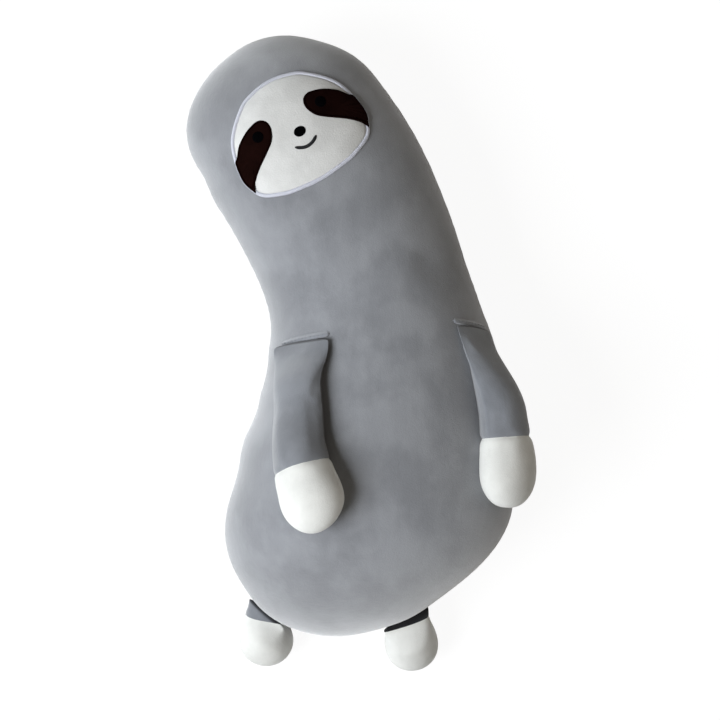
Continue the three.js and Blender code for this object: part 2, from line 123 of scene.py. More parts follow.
def seat_share(along):
    return clamp((along - BELLY_AT) / SEAT_LENGTH)


def seam_height(along):
    return BACK_DEPTH - FLAT_DEPTH - SEAT_DROOP * seat_share(along) ** 2


def swell(along, head, belly):
    """A half width or depth that goes from head to belly and rounds off at both ends."""
    crown = sqrt(max(0.0, 1 - (1 - clamp(along / HEAD_RADIUS)) ** 2))
    seat = sqrt(max(0.0, 1 - seat_share(along) ** 2))
    return crown * seat * (head + (belly - head) * ramp(along, CHEST_AT, BELLY_AT))


def eased(along, table):
    """The ease at a place along the body: each line of the table fades out over its spread."""
    return ease_share * MM * sum(
        ease * exp(-(((along / MM - at) / spread) ** 2)) for at, spread, ease in table
    )


def body_point(along, degrees):
    """A point of the skin, so far along the body and round it, from its left side by the front."""
    across, upward = cos(radians(degrees)), sin(radians(degrees))
    front = upward >= 0
    power = 2 / (FRONT_FULLNESS if front else BACK_FULLNESS)
    depths = (HEAD_FRONT, BELLY_FRONT) if front else (BACK_DEPTH, BACK_DEPTH)
    ease = eased(along, LEFT_EASE if across > 0 else RIGHT_EASE)
    half = swell(along, HEAD_RADIUS, BELLY_HALF) + ease
    side = copysign(abs(across) ** power, across) * max(0.0, half)
    rise = copysign(abs(upward) ** power, upward) * swell(along, *depths)
    sunk = along + ease_share * CROWN_EASE * (1 - clamp(along / HEAD_RADIUS))
    plan = beside_line(sunk, side - SEAT_SLUMP * seat_share(along))
    return Vector((plan.x + start_x, plan.y + start_y, seam_height(along) + rise))


# The formula starts at the crown, so its place is found by setting its box on the solids' box,
# and the ease comes after
TRIAL_STEPS, TRIAL_SIDES = 150, 60
start_x = start_y = ease_share = 0.0
drawn = [body_point(BODY_LENGTH * i / TRIAL_STEPS, 360 / TRIAL_SIDES * k)
         for i in range(TRIAL_STEPS + 1) for k in range(TRIAL_SIDES)]
boxes = [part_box(n) for n in ("front_panel", "back_panel")]
low, high = ([pick(b[end][a] for b in boxes) for a in (0, 1)] for end, pick in ((0, min), (1, max)))
mid = [(min(p[a] for p in drawn) + max(p[a] for p in drawn)) / 2 for a in (0, 1)]
start_x, start_y = ((low[a] + high[a]) / 2 - mid[a] for a in (0, 1))
ease_share = 1.0
print("the crown lies at", round(start_x, 4), round(start_y, 4))


def body_frame(along, degrees):
    """A point of the skin, the ways down, round and out of it, and how fast it runs."""
    step = BODY_LENGTH / 1000
    down = body_point(along + step, degrees) - body_point(along - step, degrees)
    round_ = body_point(along, degrees + 1) - body_point(along, degrees - 1)
    out = round_.cross(down).normalized()
    per_along, per_degree = down.length / (2 * step), round_.length / 2
    here = body_point(along, degrees)
    return here, down.normalized(), round_.normalized(), out, per_along, per_degree


# %% [markdown]
# ## From rings to a skin
# A bolster, an arm and a bead of thread are all rings along a line. A circle is laid on the
# first ring and its edges are extruded from ring to ring, which keeps the quads in order. A UV
# map, with U round the piece and V along it in metres, lets seams and threads follow the surface.

# %% A loft from rings
def loft(rings, first=None, last=None, closed=False):
    """Joins rings of one count into a skin, shut by end points or by joining last to first."""
    bm = bmesh.new()
    uv = bm.loops.layers.uv.new("Surface")
    count = len(rings[0])
    loop = bmesh.ops.create_circle(bm, cap_ends=False, segments=count, radius=1)["verts"]
    for vert, point in zip(loop, rings[0]):
        vert.co = point
    first_loop, run = loop, 0.0
    place = {vert: (k, run) for k, vert in enumerate(loop)}
    for ring in rings[1:] + ([rings[0]] if closed else []):
        edges = [e for e in (bm.edges.get((a, b)) for a, b in zip(loop, loop[1:] + loop[:1])) if e]
        made = bmesh.ops.extrude_edge_only(bm, edges=edges)["geom"]
        new = {g for g in made if isinstance(g, bmesh.types.BMVert)}
        ahead = [next(v for v in (e.other_vert(old) for e in old.link_edges) if v in new)
                 for old in loop]
        step = sum((Vector(p) - v.co).length for v, p in zip(loop, ring)) / count
        for vert, point in zip(ahead, ring):
            vert.co = point
        loop, run = ahead, run + step
        place.update({vert: (k, run) for k, vert in enumerate(loop)})
    for face in bm.faces:
        wraps = {place[vert][0] for vert in face.verts} >= {0, count - 1}
        for corner in face.loops:
            k, v = place[corner.vert]
            corner[uv].uv = ((count if wraps and k == 0 else k) / count, v)
    for ends, point, far_v in ((first_loop, first, 0.0), (loop, last, run)):
        if point is None:
            continue
        tip = bm.verts.new(point)
        for k in range(count):
            places = {ends[k]: k, ends[(k + 1) % count]: k + 1, tip: k + 0.5}
            for corner in bm.faces.new(tuple(places)).loops:
                corner[uv].uv = (places[corner.vert] / count, far_v)
    if closed:
        bmesh.ops.remove_doubles(bm, verts=bm.verts, dist=1e-7)
    bmesh.ops.recalc_face_normals(bm, faces=bm.faces)
    return bm


def to_object(name, bm, finishes=1):
    """The mesh as an object, with empty places for its finishes."""
    mesh = bpy.data.meshes.new(name)
    bm.to_mesh(mesh)
    bm.free()
    for polygon in mesh.polygons:
        polygon.use_smooth = True
    for _ in range(finishes):
        mesh.materials.append(None)
    made = bpy.data.objects.new(name, mesh)
    scene.collection.objects.link(made)
    return made


def positions(piece):
    return np.array([v.co for v in piece.data.vertices], float).reshape(-1, 3)


def set_positions(piece, points):
    piece.data.vertices.foreach_set("co", np.asarray(points, np.float32).ravel())
    piece.data.update()


def finer(piece):
    """Subdivides for good, so that what follows can work on the fine mesh."""
    modifier = piece.modifiers.new("Finer", "SUBSURF")
    modifier.levels = modifier.render_levels = 1
    bpy.context.view_layer.update()
    graph = bpy.context.evaluated_depsgraph_get()
    shown = piece.evaluated_get(graph)
    mesh = bpy.data.meshes.new_from_object(shown, preserve_all_data_layers=True, depsgraph=graph)
    piece.modifiers.clear()
    piece.data = mesh


def surface_of(piece):
    """The piece's skin as a tree that finds the nearest point or the point under a place."""
    bm = bmesh.new()
    bm.from_mesh(piece.data)
    tree = BVHTree.FromBMesh(bm)
    bm.free()
    return tree


# %% [markdown]
# ## Stuffing as air pressure
# Fibre pushes on its cover evenly, as the pressure of a cloth simulation does. Seams don't
# stretch, so they pull the plush in and pucker it. The cloth runs for a few steps without
# gravity, its travel is capped, and the filled cover is stretched back to its own length, width
# and height, which the photo gives.

# %% Fill a cover
CLOTH = dict(quality=6, mass=0.25, tension_stiffness=25, compression_stiffness=25,
             shear_stiffness=15, bending_stiffness=0.6, use_pressure=True)
FILL_STEPS, SEAM_SHRINK = 20, 0.12


def fill_cover(piece, pressure, cap, seam=None):
    """Inflates a closed cover as cloth. Points named by seam shrink along their stitches."""
    before = positions(piece)
    cloth = piece.modifiers.new("Stuffing", "CLOTH")
    for setting, value in CLOTH.items():
        setattr(cloth.settings, setting, value)
    cloth.settings.uniform_pressure_force = pressure
    cloth.settings.effector_weights.gravity = 0
    if seam is not None:
        group = piece.vertex_groups.new(name="Seam")
        for index, weight in enumerate(seam):
            group.add([index], float(weight), "REPLACE")
        cloth.settings.vertex_group_shrink = "Seam"
        cloth.settings.shrink_min, cloth.settings.shrink_max = 0.0, SEAM_SHRINK
    cloth.point_cache.frame_start, cloth.point_cache.frame_end = 1, FILL_STEPS
    for step in range(1, FILL_STEPS + 1):
        scene.frame_set(step)
    shown = piece.evaluated_get(bpy.context.evaluated_depsgraph_get())
    after = np.array([v.co for v in shown.data.vertices], float)
    piece.modifiers.clear()
    piece.vertex_groups.clear()
    scene.frame_set(1)
    travel = after - before - (after - before).mean(0)
    length = np.linalg.norm(travel, axis=1, keepdims=True)
    filled = before + travel * np.minimum(1, cap / np.maximum(length, 1e-9))
    low, kept = before.min(0), np.ptp(before, axis=0) / np.ptp(filled, axis=0)
    set_positions(piece, low + (filled - filled.min(0)) * kept)
    print(f"{piece.name}: cloth moved {1000 * np.minimum(length, cap).mean():.1f} mm on average")


# %% [markdown]
# ## The body cover
# Front and back meet at a side seam that runs round the whole outline. The points lie closer
# near the seam and in the round ends, so that there is mesh enough to draw the seam in.

# %% Rings of the body
SIDES, CAP_RINGS, TRUNK_RINGS = 72, 14, 46
SEAM_CLOSENESS, SEAM_STEPS, SEAM_PULL = 0.36, 400, 6 * MM


def ring_degrees(k):
    """Even steps round the body, drawn together at the two side seams."""
    turn = 2 * pi * k / SIDES
    return degrees(turn - SEAM_CLOSENESS * sin(2 * turn))


turns = [(i + 1) / CAP_RINGS * pi / 2 for i in range(CAP_RINGS - 1)]
stations = [HEAD_RADIUS * (1 - cos(t)) for t in turns]
trunk = BELLY_AT - HEAD_RADIUS
stations += [HEAD_RADIUS + trunk * i / TRUNK_RINGS for i in range(TRUNK_RINGS + 1)]
stations += [BELLY_AT + SEAT_LENGTH * sin(t) for t in turns]
body_rings = [[body_point(a, ring_degrees(k)) for k in range(SIDES)] for a in stations]
poles = [body_point(0, 0), body_point(BODY_LENGTH, 0)]
plush_body = to_object("plush_body", loft(body_rings, *poles))
print("body cover", len(plush_body.data.vertices), "points")

# %% Store how far each point lies from the side seam
def mark(piece, name, values):
    attribute = piece.data.attributes.get(name) or piece.data.attributes.new(name, "FLOAT", "POINT")
    attribute.data.foreach_set("value", np.asarray(values, np.float32))


def marked(piece, name):
    values = np.zeros(len(piece.data.vertices), np.float32)
    piece.data.attributes[name].data.foreach_get("value", values)
    return values


def fade(away, reach, power=2):
    """1 at no distance, and near 0 past the reach."""
    return np.exp(-(away / reach) ** power)


side_seam = np.array([body_point(BODY_LENGTH * i / SEAM_STEPS, side)
                      for side in (0, 180) for i in range(SEAM_STEPS + 1)])
from_seam = [np.linalg.norm(side_seam - p, axis=1).min() for p in positions(plush_body)]
mark(plush_body, "seam", from_seam)
fill_cover(plush_body, 3.0, 3 * MM, seam=fade(np.array(from_seam), SEAM_PULL))
finer(plush_body)

# %% [markdown]
# ## Limbs
# An arm is a flat tube at its hem that fills out to a mitten, and lies on the body. Its line
# is a walk over the body's skin from the shoulder, drifting a little towards the front. A leg
# runs straight from the seat until its foot rests on the floor.

# %% Sizes of the limbs
CLEAR, HEM_RADIUS, ARM_PRESS = 0.3 * MM, 1.8 * MM, 4.5 * MM
SHOULDER_AT, SHOULDER_SKEW, SHOULDER_DEGREES, ROLL_DEGREES = 304.8 * MM, 6.8 * MM, 42.8, 6.7
HIP_SHIFT, HIP_SPREAD, HIP_HEIGHT, HIP_PRESS = -11 * MM, 67 * MM, 52 * MM, 1.6 * MM
HAND_HALF, LEG_LENGTH, LEG_HALF_THICKNESS = 30 * MM, 65.5 * MM, 25 * MM
NECK_SHARE, SWELL_SHARE, FULL_SHARE = 0.28, 0.75, 0.8
BOW_STARTS, BOW_ENDS = (0, 0.25), (0.45, 0.75)
WALK = 48


def half_thick(limb, share):
    """Half the thickness of a limb: little at the hem, thin in the sleeve and full at its end."""
    thin = limb["thin"]
    rise = thin * ramp(share, 0, limb["full"])
    rise += (1 - thin) * ramp(share, limb["full"], FULL_SHARE)
    return HEM_RADIUS + (limb["half_thickness"] - HEM_RADIUS) * rise


def arm_limb(side, lower, length, split, halves, slants, full, thin, drifts, bow):
    """The middle line of an arm, with the way across it and out of the body at each step.

    The halves are those of the hem, the sleeve and the thickness, the slants those of the hem
    and the wrist, and the drifts those of the walk at its start and its end.
    """
    limb = dict(length=length * MM, split=split * MM, seam_half=halves[0] * MM,
                middle_half=halves[1] * MM, end_half=HAND_HALF, half_thickness=halves[2] * MM,
                split_slant=radians(slants[1]), full=full, thin=thin, places=[],
                squareness=2, squared=0.5, lean=0.0)
    along = SHOULDER_AT + side * SHOULDER_SKEW + lower * MM
    degrees = 90 - side * (90 - SHOULDER_DEGREES) - ROLL_DEGREES
    _, down, _, out, _, _ = body_frame(along, degrees)
    turn = Matrix.Rotation(-side * radians(slants[0]), 3, out)
    limb["seam"] = turn @ out.cross(down).normalized()
    for i in range(WALK + 1):
        share = i / WALK
        drift = radians(drifts[0] + (drifts[1] - drifts[0]) * share ** 2)
        point, down, round_, out, per_along, per_degree = body_frame(along, degrees)
        way = down * cos(drift) + round_ * (side * sin(drift))
        lift = (half_thick(limb, share) - HEM_RADIUS) * (1 - ARM_PRESS / limb["half_thickness"])
        point = point + out * (CLEAR + HEM_RADIUS + lift)
        bowed = ramp(share, *BOW_STARTS) * (1 - ramp(share, *BOW_ENDS))
        point -= round_ * (side * bow * MM * bowed)
        limb["places"].append((point, out.cross(way).normalized(), out))
        along += limb["length"] / WALK * cos(drift) / per_along
        degrees += limb["length"] / WALK * side * sin(drift) / per_degree
    return limb


def leg_limb(side, shift, halves, splay, turn, split, ankle_slant, ankle_lean):
    """The middle line of a leg, from the middle of its hip seam to the foot on the floor.

    The halves are those of the hip seam, the leg and the foot. Splay and turn are the ways that
    the leg and its seam point.
    """
    limb = dict(length=LEG_LENGTH, split=split * MM, seam_half=halves[0] * MM,
                middle_half=halves[1] * MM, end_half=halves[2] * MM,
                half_thickness=LEG_HALF_THICKNESS, split_slant=radians(ankle_slant),
                full=0.4, thin=1.0, squareness=2.4, squared=0.8, lean=radians(ankle_lean))
    hip_x = beside_line(BODY_LENGTH, HIP_SHIFT).x + start_x + side * HIP_SPREAD + shift * MM

    def seat_side(x):
        hit, normal, _, _ = body_skin.ray_cast(Vector((x, -1, HIP_HEIGHT)), Vector((0, 1, 0)))
        return hit + normal * (CLEAR + HEM_RADIUS - HIP_PRESS)

    hip = seat_side(hip_x)
    chord = seat_side(hip_x + limb["seam_half"]) - seat_side(hip_x - limb["seam_half"])
    limb["seam"] = Matrix.Rotation(radians(turn), 3, "Z") @ chord.normalized()
    splay = side * radians(splay)
    droop = asin((hip.z - limb["half_thickness"]) / (limb["length"] - limb["end_half"]))
    across = Vector((cos(splay), sin(splay), 0))
    level = Vector((sin(splay), -cos(splay), 0))
    way = level * cos(droop) - Vector((0, 0, sin(droop)))
    out = way.cross(across)
    limb["places"] = [(hip, across, out), (hip + way * limb["length"], across, out)]
    return limb


def limb_section(limb, share):
    """The middle of a limb at a share of its length, the way across it and the way out."""
    at = clamp(share) * (len(limb["places"]) - 1)
    index = min(int(at), len(limb["places"]) - 2)
    (p, a, o), (q, b, r) = limb["places"][index], limb["places"][index + 1]
    t = at - index
    straight = a.lerp(b, t).normalized()
    across = limb["seam"].lerp(straight, ramp(share, 0, limb["squared"])).normalized()
    out = o.lerp(r, t).normalized()
    out = (out - across * out.dot(across)).normalized()
    return p.lerp(q, t), across, out


def limb_sizes(limb, share):
    """Half the width and half the thickness of a limb at a share of its length."""
    tip = 1 - limb["end_half"] / limb["length"]
    square = limb["squareness"]
    round_ = max(0.0, 1 - clamp((share - tip) / (1 - tip)) ** square) ** (1 / square)
    near_seam = 1 - ramp(share, 0, NECK_SHARE)
    near_tip = ramp(share, SWELL_SHARE * limb["split"] / limb["length"], tip)
    extra = (limb["seam_half"] - limb["middle_half"]) * near_seam
    extra += (limb["end_half"] - limb["middle_half"]) * near_tip
    return round_ * (limb["middle_half"] + extra), round_ * half_thick(limb, share)


# %% The cover of a limb
LIMB_SIDES, LIMB_RING_STEP, TIP_RINGS, CUT_SNAP = 44, 4 * MM, 10, 0.15 * MM


def limb_cover(name, limb):
    """The whole cover of a limb from its hem to its tip, still in one colour."""
    tip = 1 - limb["end_half"] / limb["length"]
    count = round(tip * limb["length"] / LIMB_RING_STEP)
    shares = [tip * i / count for i in range(count + 1)]
    rounded = [sin(i / TIP_RINGS * pi / 2) for i in range(1, TIP_RINGS)]
    shares += [tip + (1 - tip) * r for r in rounded]
    turns = [2 * pi * k / LIMB_SIDES for k in range(LIMB_SIDES)]
    rings = []
    for share in shares:
        centre, across, out = limb_section(limb, share)
        width, thickness = limb_sizes(limb, share)
        rings.append([centre + across * (width * cos(t)) + out * (thickness * sin(t))
                      for t in turns])
    centre, across, out = limb_section(limb, 0)
    hem = centre + out.cross(across) * HEM_RADIUS
    piece = to_object(name, loft(rings, hem, limb_section(limb, 1)[0]), finishes=2)
    turn = np.zeros(len(piece.data.vertices))
    layer = piece.data.uv_layers["Surface"].data
    for corner in piece.data.loops:
        turn[corner.vertex_index] = layer[corner.index].uv[0] % 1
    sideways = np.minimum(np.abs(turn - 0.5), np.minimum(turn, 1 - turn)) * 4 * limb["middle_half"]
    mark(piece, "seam", sideways)
    mark(piece, "hem", (positions(piece) - np.array(centre)) @ np.array(across.cross(out)))
    return piece


def wrist_plane(limb):
    """A point of the wrist's or ankle's seam and the way onward through it."""
    at, across, out = limb_section(limb, limb["split"] / limb["length"])
    slanted = Matrix.Rotation(limb["split_slant"], 3, out) @ across.cross(out)
    return at, Matrix.Rotation(limb["lean"], 3, across) @ slanted


def past_wrist(piece, limb):
    """How far each point lies past the plane of the wrist or ankle seam."""
    at, onward = wrist_plane(limb)
    return (positions(piece) - np.array(at)) @ np.array(onward)


def cut_wrist(piece, limb, steps):
    """Cuts the skin at each step from the seam, and gives white to what lies past the seam."""
    at, onward = wrist_plane(limb)
    bm = bmesh.new()
    bm.from_mesh(piece.data)
    for away in steps:
        parts = [*bm.verts, *bm.edges, *bm.faces]
        place = at + onward * away
        bmesh.ops.bisect_plane(bm, geom=parts, dist=CUT_SNAP, plane_co=place, plane_no=onward)
    bm.to_mesh(piece.data)
    bm.free()
    down = past_wrist(piece, limb)
    mark(piece, "wrist", down)
    for polygon in piece.data.polygons:
        polygon.material_index = int(np.mean([down[v] for v in polygon.vertices]) > 0)


body_skin = surface_of(plush_body)
limbs = {
    "right_arm": arm_limb(-1, 3.5, 175, 117.5, (30, 26, 22.5), (5, 3), 0.26, 0.49, (7.5, 45), 1.6),
    "left_arm": arm_limb(1, 0, 164.5, 103, (23, 24, 22), (16, 0), 0.5, 0.85, (1.5, -2), 0),
    "right_leg": leg_limb(-1, -0.5, (22, 22, 26.5), 3, 3, 9.8, 26, -24),
    "left_leg": leg_limb(1, -2, (24.5, 22.5, 26), 12, 0, 9, -8, -28),
}

# %% [markdown]
# A limb that lies on the body is pressed flat where they touch: each point that would reach
# into the body is moved out to just above its skin. The floor flattens the feet and the back in
# the same way.

# %% Press a cover against the body and the floor
GAP, PRESS_REACH = 0.5 * MM, 30 * MM


def press(piece, skin=None):
    """Moves out what would reach into the skin or the floor."""
    points = positions(piece)
    for index, point in enumerate(points):
        if skin is not None:
            near, normal, _, _ = skin.find_nearest(Vector(point), PRESS_REACH)
            if near is not None and (Vector(point) - near).dot(normal) < GAP:
                points[index] = near + normal * GAP
        points[index][2] = max(points[index][2], 0.0)
    set_positions(piece, points)


def groove(piece, name, depth, width, pucker, pitch, share=None):
    """Draws a seam into the skin, with puckers beside it. Share weakens it at each point."""
    points, away = positions(piece), np.abs(marked(piece, name))
    normals = np.array([v.normal for v in piece.data.vertices])
    for index, point in enumerate(points):
        if away[index] > 6 * width:
            continue
        wave = noise.noise(Vector(point) / pitch) * exp(-((away[index] / (3 * width)) ** 2))
        sink = depth * exp(-((away[index] / width) ** 2))
        full = 1 if share is None else share[index]
        points[index] += normals[index] * (wave * pucker - sink) * full
    set_positions(piece, points)


def smooth_ends(piece, ends, reach, rounds):
    """Evens out the two ends of the body, where many narrow faces meet."""
    bm = bmesh.new()
    bm.from_mesh(piece.data)
    near = [v for v in bm.verts if min((v.co - end).length for end in ends) < reach]
    axes = dict(use_axis_x=True, use_axis_y=True, use_axis_z=True)
    for _ in range(rounds):
        bmesh.ops.smooth_vert(bm, verts=near, factor=0.5, **axes)
    bm.to_mesh(piece.data)
    bm.free()


# Painted shade: where plush lies close to plush the limb's colour is darkened, on the flanks of an
# arm near the body, in the hollow beside the right arm, and in the fold at each hem. Each has a
# reach and a strength
CONTACT_SHADE, HOLLOW_SHADE, ARM_FOLD_SHADE = (3.5 * MM, 0.8), (16 * MM, 0.9), (1.2 * MM, 0.6)
HIP_FOLD_SHADES = {"right_leg": (3 * MM, 0.9), "left_leg": (14 * MM, 0.95)}
HEM_CLEAR, HEM_LIT = (4 * MM, 14 * MM), 12 * MM


def painted_crease_shade(cover, name):
    """How much painted shade each point of a limb's cover gets."""
    found = [body_skin.find_nearest(Vector(p)) for p in positions(cover)]
    heights = np.array([near[3] for near in found])
    normals = [v.normal for v in cover.data.vertices]
    facing = [n.dot(near[1]) for n, near in zip(normals, found)]
    flank = np.array([ramp(f, -0.8, -0.4) * (1 - ramp(f, 0.1, 0.72)) for f in facing])
    dark = np.zeros(len(heights))
    if name.endswith("arm"):
        dark = CONTACT_SHADE[1] * fade(heights, CONTACT_SHADE[0]) * flank
    if name == "right_arm":
        inward = np.array([ramp(n.x, 0.1, 0.5) for n in normals])
        dark = np.maximum(dark, HOLLOW_SHADE[1] * fade(heights, HOLLOW_SHADE[0]) * flank * inward)
    from_hem = marked(cover, "hem")
    reach, strength = HIP_FOLD_SHADES.get(name, ARM_FOLD_SHADE)
    dark = dark * np.clip(from_hem / HEM_LIT, 0, 1)
    return np.maximum(dark, strength * fade(np.maximum(from_hem, 0), reach, 4))


# %% Press and sew the body, then the limbs on it
press(plush_body)
groove(plush_body, "seam", 1.6 * MM, 2.6 * MM, 0.9 * MM, 7 * MM)
smooth_ends(plush_body, poles, 12 * MM, 12)
body_skin = surface_of(plush_body)
covers = {}
for name, limb in limbs.items():
    cover = limb_cover(name + "_cover_plush", limb)
    is_arm = name.endswith("arm")
    drawn_in = 0.8 * fade(past_wrist(cover, limb), 3 * MM)
    fill_cover(cover, 2.5, 2 * MM, seam=drawn_in if is_arm else None)
    finer(cover)
    press(cover, body_skin)
    cut_wrist(cover, limb, (0, -1 * MM, 1 * MM) if is_arm else (0,))
    low, high = HEM_CLEAR
    clear = np.clip((marked(cover, "hem") - low) / (high - low), 0, 1)
    groove(cover, "wrist", (0.9 if is_arm else 0.6) * MM, 1.8 * MM, 0.3 * MM, 5 * MM, clear)
    grey = clear * np.clip(-marked(cover, "wrist") / (6 * MM), 0.1, 1)
    groove(cover, "seam", -0.5 * MM, 1.5 * MM, 0.4 * MM, 6 * MM, grey)
    press(cover, body_skin)
    # How much painted shade each point gets, kept for the limb's finish
    mark(cover, "painted_shade", painted_crease_shade(cover, name))
    covers[name] = cover
    print(name, len(cover.data.polygons), "faces")

# %% [markdown]
# ## Materials
# Short-nap plush is dull and soft: its fibres catch light at grazing angles, which the shader's
# sheen gives, and where a hand has brushed it the grey turns lighter or darker in broad patches.
# The finishes read object coordinates, so they need no images, and a small class writes shader
# maths as plain expressions.

# %% Shader maths
class Value:
    """A socket that can be added, multiplied and mixed like a number."""

    def __init__(self, shader, socket):
        self.shader, self.socket = shader, socket

    def _math(self, operation, *values):
        return self.shader.node("Math", dict(enumerate(values)), {"operation": operation})

    def __add__(self, other):
        return self._math("ADD", self, other)

    __radd__ = __add__

    def __mul__(self, other):
        return self._math("MULTIPLY", self, other)

    def __rsub__(self, other):
        return self._math("SUBTRACT", other, self)

    def __abs__(self):
        return self._math("ABSOLUTE", self)

    def sin(self):
        return self._math("SINE", self)

    def between(self, low, high):
        """0 below low, 1 above high."""
        settings = {"clamp": True, "interpolation_type": "SMOOTHSTEP"}
        inputs = {"Value": self, "From Min": low, "From Max": high}
        return self.shader.node("MapRange", inputs, settings)


class Shader:
    """A material with one principled shader, and a method that adds any node."""

    def __init__(self, name, **constants):
        self.material = bpy.data.materials.new(name)
        self.material.use_nodes = True
        self.tree = self.material.node_tree
        self.base = self.tree.nodes["Principled BSDF"]
        for socket, value in constants.items():
            self.base.inputs[socket.replace("_", " ")].default_value = value

    def node(self, kind, inputs=None, settings=None, output=0):
        made = self.tree.nodes.new("ShaderNode" + kind)
        for key, value in (settings or {}).items():
            setattr(made, key, value)
        for key, value in (inputs or {}).items():
            if isinstance(value, Value):
                self.tree.links.new(value.socket, made.inputs[key])
            else:
                made.inputs[key].default_value = value
        return Value(self, made.outputs[output])

    def place(self):
        return self.node("TexCoord", output="Object")

    def noise(self, scale, detail, roughness, stretch=(1, 1, 1)):
        spread = self.node("Mapping", {"Vector": self.place(), "Scale": stretch})
        inputs = {"Vector": spread, "Scale": scale, "Detail": detail, "Roughness": roughness}
        return self.node("TexNoise", inputs)

    def mark(self, name):
        return self.node("Attribute", None, {"attribute_name": name}, output="Fac")

    def mix(self, share, a, b):
        return self.node("Mix", {0: share, 6: a, 7: b}, {"data_type": "RGBA"}, output=2)

    def set(self, **links):
        for socket, value in links.items():
            self.tree.links.new(value.socket, self.base.inputs[socket.replace("_", " ")])
        return self.material

    def cover(self, share, colour):
        """Lays a plain dull shader over the first one where share is 1."""
        inputs = {"Base Color": colour, "Roughness": 0.95, "Specular IOR Level": 0.05}
        dull = self.node("BsdfPrincipled", inputs)
        mixed = self.node("MixShader", {0: share, 1: Value(self, self.base.outputs[0]), 2: dull})
        self.tree.links.new(mixed.socket, self.tree.nodes["Material Output"].inputs["Surface"])

    def bumped(self, height, distance, strength):
        return self.node("Bump", {"Height": height, "Distance": distance, "Strength": strength})


def rgb(red, green, blue):
    """A colour as seen on a screen, 0 to 255, turned to the shader's linear values."""
    shares = (c / 255 for c in (red, green, blue))
    return tuple(c / 12.92 if c <= 0.04045 else ((c + 0.055) / 1.055) ** 2.4 for c in shares) + (1,)


# %% Short-nap plush
def plush(name, dark, light, mottle=19, sheen=0.9, seam_tone_share=0.0, nap=1.0, painted_shade=False,
          seam_tone=0.4):
    """Plush between two shades. Seams are toned: darker on the body, as painted shade in the seam's
    groove, and lighter on the limbs. Limbs get painted shade where they lie in creases.
    """
    shader = Shader(name, Sheen_Weight=sheen, Sheen_Roughness=0.6, Specular_IOR_Level=0.15)
    broad = shader.noise(mottle, 3, 0.55)
    brushed = shader.noise(60, 3, 0.6, stretch=(1, 0.35, 1))
    pile = shader.noise(420, 2, 0.6)
    tufts = shader.noise(1500, 1, 0.5)
    shade = broad.between(0.36, 0.64) * 0.55 + brushed.between(0.3, 0.7) * 0.27 + pile * 0.18
    colour = shader.mix(shade, dark, light)
    # The seam line is toned: on the body darker, as painted shade in its groove; on the limbs,
    # where seam_tone is above 1, lighter
    seam_colour = tuple(c * seam_tone for c in dark[:3]) + (1,)
    seam = shader.mark("seam")
    colour = shader.mix((1 - abs(seam).between(0.0004, 0.002)) * seam_tone_share, colour, seam_colour)
    # Painted shade: a dark dull shader laid over a limb where it lies close to the body and in the
    # fold at its hem
    if painted_shade:
        shader.cover(shader.mark("painted_shade"), rgb(24, 23, 24))
    height = pile * 0.5 + tufts * 0.5 + brushed * 0.8
    normal = shader.bumped(height, 0.0008 * nap, 0.55)
    roughness = 0.86 + brushed * 0.12
    return shader.set(Base_Color=colour, Roughness=roughness, Normal=normal)


grey_plush = plush("grey_plush", rgb(115, 117, 122), rgb(142, 144, 149), seam_tone_share=0.3)
limb_plush = plush("limb_plush", rgb(102, 105, 111), rgb(128, 131, 137), mottle=24, sheen=0.7,
                   seam_tone_share=0.35, painted_shade=True, seam_tone=1.5)
tuck_plush = plush("tuck_plush", rgb(119, 122, 129), rgb(144, 147, 154), mottle=30)
white_plush = plush("white_plush", rgb(212, 212, 208), rgb(232, 232, 228), mottle=24, sheen=0.15,
                    nap=0.8)
plush_body.data.materials[0] = grey_plush
for cover in covers.values():
    cover.data.materials[0], cover.data.materials[1] = limb_plush, white_plush

# %% [markdown]
# ## The face
# The face is a pale panel sewn down all round by a wide satin stitch. Two dark patches run out
# under the same stitch, and eyes, nose and smile are embroidered. Each flat piece starts as its
# outline, is drawn in ring by ring to its middle and is dropped onto the body's skin, so the
# layers follow the head.

# %% Sizes and outlines of the face
NOSE_AT, FACE_TILT, FACE_SHIFT, NOSE_OUT = 107 * MM, radians(30), 2.5 * MM, 2.8 * MM
FACE_HALF, FACE_TOP, FACE_BOTTOM = 64.5 * MM, 56 * MM, 48 * MM
EDGING_WIDTH, EYE_OUT, EYE_UP, EYE_RADIUS = 3.2 * MM, 32 * MM, 14.5 * MM, 5 * MM
FACE_SHARES = [(0, 1), (0.27, 0.955), (0.524, 0.828), (0.87, 0.422), (1, -0.152), (0.949, -0.507),
               (0.841, -0.721), (0.609, -0.873), (0.408, -0.945), (0, -1)]
PATCH_SHARES = [(0.276, 0.29), (0.3, 0.42), (0.38, 0.485), (0.48, 0.48), (0.62, 0.425),
                (0.79, 0.3), (0.92, 0.13), (1.1, 0), (1.1, -0.3), (0.965, -0.49),
                (0.925, -0.465), (0.848, -0.345), (0.684, -0.185), (0.484, -0.026), (0.342, 0.11)]
CURVE_STEPS, BEAD_SIDES, OVAL_POINTS, THREAD = 16, 12, 48, 0.62 * MM
UNDER_LIFT = 0.2 * MM


